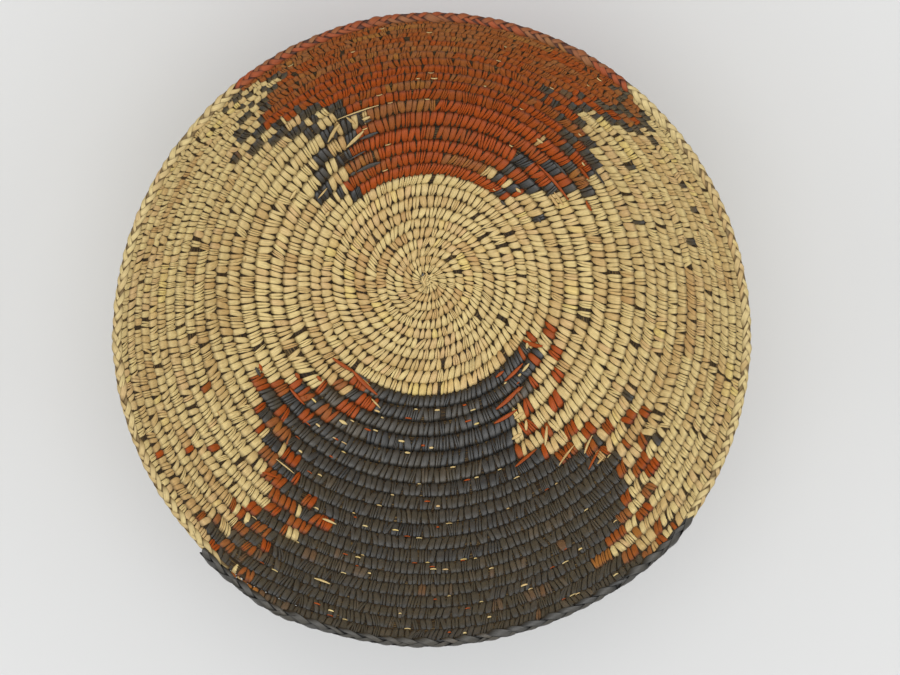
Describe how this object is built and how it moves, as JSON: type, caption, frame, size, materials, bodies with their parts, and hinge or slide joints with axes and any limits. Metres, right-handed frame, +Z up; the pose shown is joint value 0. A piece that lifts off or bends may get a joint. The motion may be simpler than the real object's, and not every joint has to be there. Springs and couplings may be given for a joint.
{
  "type": "basket bowl",
  "caption": "Round coiled basket bowl: a spiral of stitched rows in natural, rust and charcoal with stepped borders, and a braided rim.",
  "frame": {"origin": "bottom centre of the bowl's box, on the surface that it stands on", "axes": "+Z up out of the open mouth, +X to the picture's right, +Y to the picture's top"},
  "size_m": [0.2572, 0.2582, 0.1303],
  "materials": {
    "natural": "dry splint, satin, cream to honey, with fine grain along each stitch",
    "rust": "dyed splint, satin, orange rust fading to brown",
    "charcoal": "dyed splint, satin, dark blue grey fading to brown",
    "grass": "dry grass bundle, dull"
  },
  "bodies": {
    "root": {"start_knot": "natural", "start_stitching": "natural", "natural_centre_stitching": "natural", "rust_stitching": "rust", "natural_left_stitching": "natural", "charcoal_stitching": "charcoal", "natural_right_stitching": "natural", "rim_braid_rust": "rust", "rim_braid_natural_left": "natural", "rim_braid_charcoal": "charcoal", "rim_braid_natural_right": "natural", "foundation_coil": "grass", "loose_end_charcoal": "charcoal", "loose_end_natural": "natural", "loose_end_rust_lower_left": "rust", "loose_end_rust_right": "rust", "loose_end_rust_lower_right": "rust"}
  },
  "joints": []
}
